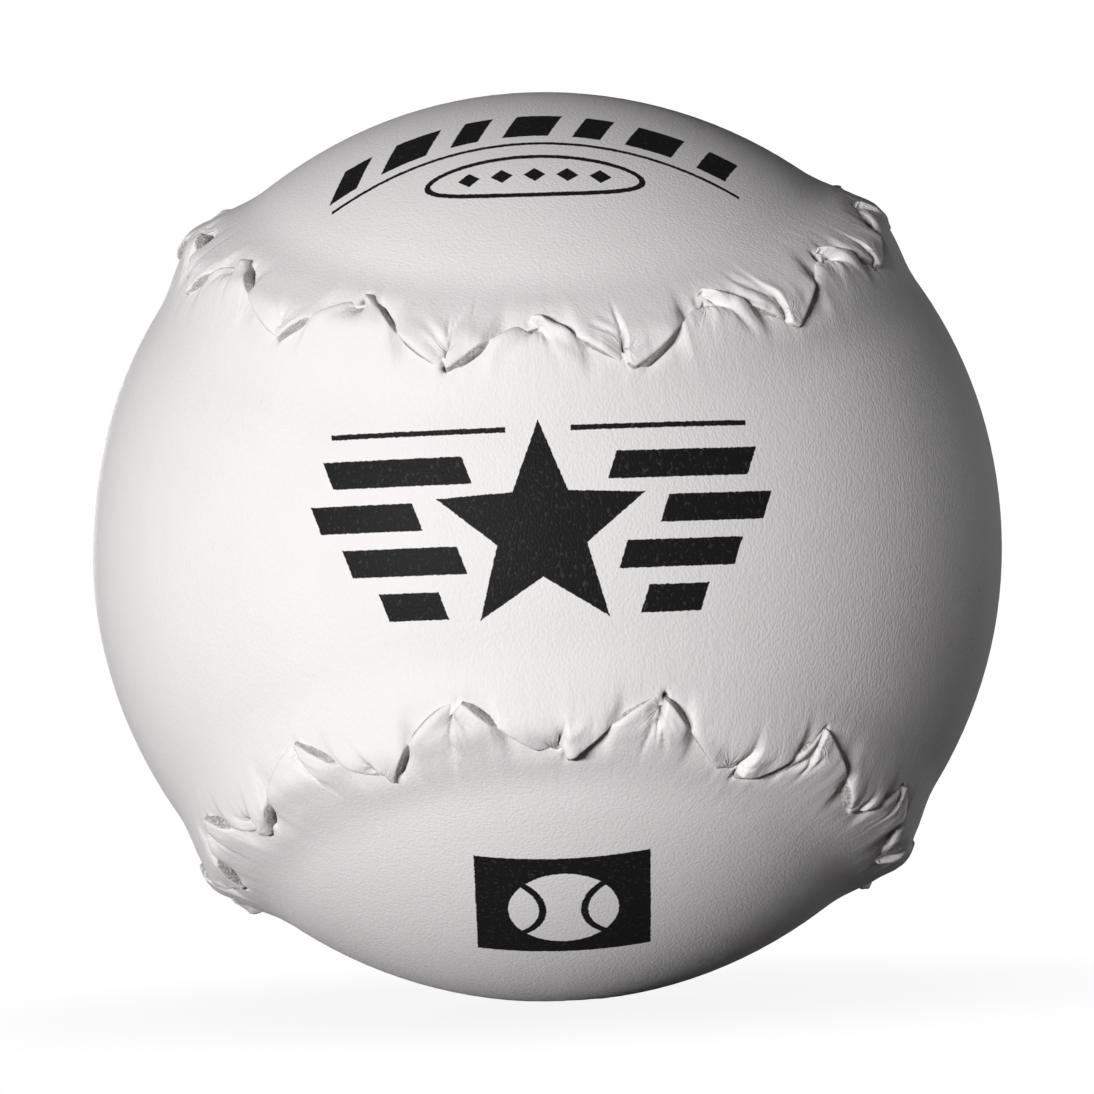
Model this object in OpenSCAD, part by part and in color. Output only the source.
// A sixteen-inch softball: a wound kapok ball in a leather cover of two figure-eight panels.
// The panels' edges are cut in teeth that lap over and under each other along one closed seam,
// and a concealed thread laces the teeth together from below.
// The origin is the centre of the ball. The waist of the front panel faces -Y, +Z is up.

/* [Ball] */
// Girth of the ball, measured round the smooth leather between the seams
ball_girth = 406.4; // [360:0.1:450]
// Depth of the flat that the ball's own weight presses where it lies
rest_depth = 0.45; // [0.2:0.05:1]

/* [Cover panels] */
// Thickness of the leather
leather_t = 1.5; // [1:0.1:2.2]
// Width of a panel across its narrow waist, along the leather
waist_w = 49.6; // [43:0.2:56]
// How strongly the seam swings between waist and lobe, as a share of its main wave
swing_share = 0.5; // [0.46:0.01:0.56]

/* [Teeth] */
// Teeth round each panel: two more than a multiple of four, so that both panels are one pattern
tooth_count = 30; // [22:4:38]
// How far a tooth reaches across the seam line
tooth_reach = 4.4; // [3:0.1:5.5]
// How far the hollow between two teeth stays back from the seam line
hollow_back = 1; // [0.4:0.1:2]
// Depth of the notch in a tooth's tip, where the thread draws it in
notch_depth = 1.2; // [0.4:0.1:2]
// Depth of the crease that runs inward from the notch
crease_depth = 0.5; // [0.2:0.05:0.9]
// How far a cut edge is worn down below the face of its tooth
edge_wear = 0.25; // [0:0.05:0.6]
// Gap between cut edges that lie side by side, and between lapped layers
lap_gap = 0.3; // [0.2:0.05:0.5]

/* [Seam] */
// Distance from the seam line to where the cover is round again
seam_skirt = 12; // [9:0.5:16]
// Diameter of the lacing thread
thread_d = 0.9; // [0.6:0.1:1.4]
// How far the thread swings to each side of the seam line
stitch_reach = 2.4; // [1.5:0.1:3.5]

/* [Inside] */
// Diameter of the kapok core
core_d = 50; // [35:1:60]
// Outside diameter of the inner, soft winding
inner_winding_d = 92; // [70:1:105]
// Thickness of the latex coat over the windings
latex_t = 0.5; // [0.3:0.1:1]
// Clearance between one layer and the next
layer_gap = 0.1; // [0.05:0.05:0.3]
// Clearance between the latex coat and the flat facets inside the cover
cover_gap = 0.3; // [0.25:0.05:0.5]

/* [Hidden] */

$fn = 96;
full_turn = 360;
half_turn = 180;
arc_degrees = half_turn / PI;

// The ball and its layers
ball_r = ball_girth / (2 * PI);
cover_inner_r = ball_r - leather_t;
latex_r = cover_inner_r - cover_gap;
outer_winding_r = latex_r - latex_t - layer_gap;
inner_winding_r = inner_winding_d / 2;
core_r = core_d / 2;
rest_r = ball_r - rest_depth;

// The seam line, as directions from the centre of the ball
waist_angle = waist_w / 2 / ball_r * arc_degrees;
sway_share = (1 - swing_share) / tan(waist_angle);
seam_steps = 720;
seam_step = full_turn / seam_steps;

function unit(v) = v / norm(v);

function seam_point(t) = unit([sin(t) + swing_share * sin(3 * t),
                               -sway_share * cos(2 * t),
                               cos(t) - swing_share * cos(3 * t)]);

// Runs out of the front panel, at right angles to the seam
function seam_side(t) = unit(cross(seam_point(t), seam_point(t + seam_step) - seam_point(t - seam_step)));

// Length along the seam against its angle, to space the teeth evenly
seam_table = [for (i = 0, run = 0; i <= seam_steps;
                   run = run + ball_r * norm(seam_point((i + 1) * seam_step) - seam_point(i * seam_step)),
                   i = i + 1) [run, i * seam_step]];
seam_length = seam_table[seam_steps][0];
pitch = seam_length / tooth_count;
function seam_angle(run) = lookup(run, seam_table);

// One step of the leather to the side of a point on the ball
function beside(point, side, n) = point * cos(n / ball_r * arc_degrees) + side * sin(n / ball_r * arc_degrees);

// The way between two directions along a great circle
function between(a, b, share) =
    let (angle = acos(a * b))
    (a * sin((1 - share) * angle) + b * sin(share * angle)) / sin(angle);

function smooth(x) = let (y = min(1, max(0, x))) y * y * (3 - 2 * y);

// One tooth: where its columns stand along the pitch, from tip to tip
column_shares = [0, 0.06, 0.17, 0.33, 0.5, 0.67, 0.83, 0.94];
shoulder_share = 0.34;
shoulder = shoulder_share * tooth_reach;
column_edges = [tooth_reach - notch_depth, tooth_reach, shoulder, -shoulder - lap_gap,
                -hollow_back, -shoulder - lap_gap, shoulder, tooth_reach];
// 1 where the tooth lies on top, -1 where the hollow lies under the other panel's tooth
column_levels = [1, 1, 1, -1, -1, -1, 1, 1];
column_creases = [1, 0, 0, 0, 0, 0, 0, 0];
tooth_columns = len(column_shares);
columns = tooth_count * tooth_columns;

// Height of the leather's outer face over the ball: the thread and the lap raise the seam
half_lap = (leather_t + lap_gap) / 2;
function skirt_share(n) = pow(max(0, 1 - pow(n / seam_skirt, 2)), 3);
seam_rise = (thread_d + 2 * layer_gap + half_lap) / skirt_share(stitch_reach);
lap_line = -tooth_reach - lap_gap;
top_fade_share = 0.6;
under_fade_share = 0.85;
function lap_share(n, level) = level > 0
    ? smooth((n + top_fade_share * seam_skirt) / (hollow_back + top_fade_share * seam_skirt))
    : smooth((n + under_fade_share * seam_skirt) / (lap_line + under_fade_share * seam_skirt));
function outer_height(n, level) = ball_r + seam_rise * skirt_share(n) + level * half_lap * lap_share(n, level);

// Rows of points across the band beside the seam, from the cut edge inward
outer_lap_shares = [0, 0.13, 0.47, 1];
outer_wear_shares = [1, 0, 0, 0];
outer_crease_shares = [1, 0.8, 0, 0];
inner_lap_shares = [0, 0.38, 1];
outer_skirt_shares = [0.5, 1];
inner_skirt_shares = [1];

column_ts = [for (i = [0 : columns - 1])
    seam_angle(pitch * (floor(i / tooth_columns) + column_shares[i % tooth_columns]))];
column_points = [for (t = column_ts) seam_point(t)];
column_sides = [for (t = column_ts) seam_side(t)];

function band_point(i, n, height) = height * beside(column_points[i], column_sides[i], n);

function lap_row(share, drop, wear, crease) = [for (i = [0 : columns - 1])
    let (c = i % tooth_columns, edge = column_edges[c], n = edge + (lap_line - edge) * share)
    band_point(i, n, outer_height(n, column_levels[c]) - drop - wear * edge_wear
                     - crease * column_creases[c] * crease_depth)];

function skirt_row(share, drop) = [for (i = [0 : columns - 1])
    let (c = i % tooth_columns, n = lap_line - (seam_skirt + lap_line) * share)
    band_point(i, n, outer_height(n, column_levels[c]) - drop)];

// Inside the band, ribs run on to the panel's middle line, evenly spaced along the seam
outer_ribs = 108;
inner_ribs = 88;
outer_rib_rows = 4;
inner_rib_rows = 4;
middle_end_share = 0.72;
middle_even_share = 0.1;
middle_bend_share = 0.08;
middle_end = middle_end_share * (half_turn - waist_angle);
function middle_point(t) =
    let (swell = (1 + middle_bend_share) * sin(t) + middle_bend_share * sin(3 * t),
         even = asin(sin(t)) / asin(1),
         a = middle_end * (swell * (1 - middle_even_share) + even * middle_even_share))
    [sin(a), -cos(a), 0];
function rib_angle(j, ribs) = seam_angle(seam_length * j / ribs);

function rib_row(ribs, share, height) = [for (j = [0 : ribs - 1])
    let (t = rib_angle(j, ribs))
    height * between(beside(seam_point(t), seam_side(t), -seam_skirt), middle_point(t), share)];

// The ribs of both sides meet in pairs on the middle line
function middle_row(ribs, height) = [for (m = [0 : ribs / 2])
    height * middle_point(rib_angle((m + ribs * 3 / 4) % ribs, ribs))];
function middle_index(j, ribs) =
    let (k = (j + ribs / 4) % ribs) k <= ribs / 2 ? k : ribs - k;

// Faces between two closed rows of points, given by the index of each row's first point
function quad(a, a_next, b, b_next, falling) = falling
    ? [[a, a_next, b], [a_next, b_next, b]]
    : [[a, a_next, b_next], [a, b_next, b]];

function band_strip(a, b) = [for (i = [0 : columns - 1])
    let (k = (i + 1) % columns)
    each quad(a + i, a + k, b + i, b + k, i % tooth_columns < tooth_columns / 2)];

function thinning_strip(a, b, ribs) = concat(
    [for (i = [0 : columns - 1])
        [a + i, a + (i + 1) % columns, b + round((i + 1 / 2) * ribs / columns) % ribs]],
    [for (j = [0 : ribs - 1])
        [a + ceil((j + 1 / 2) * columns / ribs - 1 / 2) % columns, b + (j + 1) % ribs, b + j]]);

function rib_strip(a, b, ribs) = [for (j = [0 : ribs - 1])
    let (k = (j + 1) % ribs)
    each quad(a + j, a + k, b + j, b + k, j % (ribs / 2) >= ribs / 4)];

function closing_strip(a, b, ribs) = [for (j = [0 : ribs - 1])
    let (k = (j + 1) % ribs)
    each quad(a + j, a + k, b + middle_index(j, ribs), b + middle_index(k, ribs), j % (ribs / 2) >= ribs / 4)];

// One face of the panel: its band rows, its rib rows and the middle line, in that order
function sheet_faces(first, band_rows, rib_rows, ribs) =
    let (rib_first = first + band_rows * columns, middle_first = rib_first + rib_rows * ribs)
    concat([for (r = [0 : band_rows - 2]) each band_strip(first + r * columns, first + (r + 1) * columns)],
           thinning_strip(rib_first - columns, rib_first, ribs),
           [for (r = [0 : rib_rows - 2]) each rib_strip(rib_first + r * ribs, rib_first + (r + 1) * ribs, ribs)],
           closing_strip(middle_first - ribs, middle_first, ribs));

function turned(faces) = [for (f = faces) [f[2], f[1], f[0]]];

outer_sheet = concat(
    [for (r = [0 : len(outer_lap_shares) - 1])
        each lap_row(outer_lap_shares[r], 0, outer_wear_shares[r], outer_crease_shares[r])],
    [for (share = outer_skirt_shares) each skirt_row(share, 0)],
    [for (r = [1 : outer_rib_rows]) each rib_row(outer_ribs, r / (outer_rib_rows + 1), ball_r)],
    middle_row(outer_ribs, ball_r));
inner_sheet = concat(
    [for (share = inner_lap_shares) each lap_row(share, leather_t, 0, 0)],
    [for (share = inner_skirt_shares) each skirt_row(share, leather_t)],
    [for (r = [1 : inner_rib_rows]) each rib_row(inner_ribs, r / (inner_rib_rows + 1), cover_inner_r)],
    middle_row(inner_ribs, cover_inner_r));
outer_band_rows = len(outer_lap_shares) + len(outer_skirt_shares);
inner_band_rows = len(inner_lap_shares) + len(inner_skirt_shares);
inner_first = len(outer_sheet);

module panel() {
    polyhedron(
        points = concat(outer_sheet, inner_sheet),
        faces = concat(
            sheet_faces(0, outer_band_rows, outer_rib_rows, outer_ribs),
            turned(sheet_faces(inner_first, inner_band_rows, inner_rib_rows, inner_ribs)),
            band_strip(inner_first, 0)),
        convexity = 10);
}

// The lacing thread: one loop that swings from tooth to tooth under the leather
thread_r = thread_d / 2;
thread_line_r = cover_inner_r + layer_gap + thread_r;
tooth_rings = 6;
rings = tooth_count * tooth_rings;
thread_sides = 5;
thread_line = [for (k = [0 : rings - 1])
    let (t = seam_angle(pitch * k / tooth_rings))
    thread_line_r * beside(seam_point(t), seam_side(t), stitch_reach * cos(full_turn * k / tooth_rings))];
function thread_ring(k) =
    let (ahead = unit(thread_line[(k + 1) % rings] - thread_line[(k + rings - 1) % rings]),
         across = unit(cross(ahead, thread_line[k])),
         up = cross(across, ahead))
    [for (j = [0 : thread_sides - 1])
        let (a = full_turn * (j + 1 / 2) / thread_sides)
        thread_line[k] + thread_r * (across * cos(a) + up * sin(a))];
thread_faces = [for (k = [0 : rings - 1], j = [0 : thread_sides - 1])
    let (a = k * thread_sides, b = (k + 1) % rings * thread_sides, next = (j + 1) % thread_sides)
    each [[a + j, b + j, b + next], [a + j, b + next, a + next]]];

module shell(outer_r, inner_r) {
    difference() {
        sphere(r = outer_r);
        sphere(r = inner_r);
    }
}

// Kapok fibre pressed into a ball
module kapok_core() {
    color("#efe3c4") sphere(r = core_r);
}

// Soft wool-blend yarn wound round the core
module inner_winding() {
    color("#cfcabf") shell(inner_winding_r, core_r + layer_gap);
}

// Tight cotton-blend yarn wound to size
module outer_winding() {
    color("#e4ddca") shell(outer_winding_r, inner_winding_r + layer_gap);
}

// Latex that glues the windings and the cover
module latex_coat() {
    color("#d9c38a") shell(latex_r, outer_winding_r + layer_gap);
}

// Leather panel round the front, its lobes on the left and right
module cover_panel_front() {
    color("#f1f0ee") panel();
}

// The same panel turned about the diagonal, its lobes on top and below
module cover_panel_back() {
    color("#eceae6") difference() {
        rotate(a = half_turn, v = [1, 0, 1]) panel();
        translate([-ball_r, -ball_r, -rest_r - ball_r]) cube([2 * ball_r, 2 * ball_r, ball_r]);
    }
}

// Lacing thread under the teeth, tied into one loop
module seam_thread() {
    color("#d8d2c4") polyhedron(
        points = [for (k = [0 : rings - 1]) each thread_ring(k)],
        faces = thread_faces,
        convexity = 10);
}

kapok_core();
inner_winding();
outer_winding();
latex_coat();
cover_panel_front();
cover_panel_back();
seam_thread();
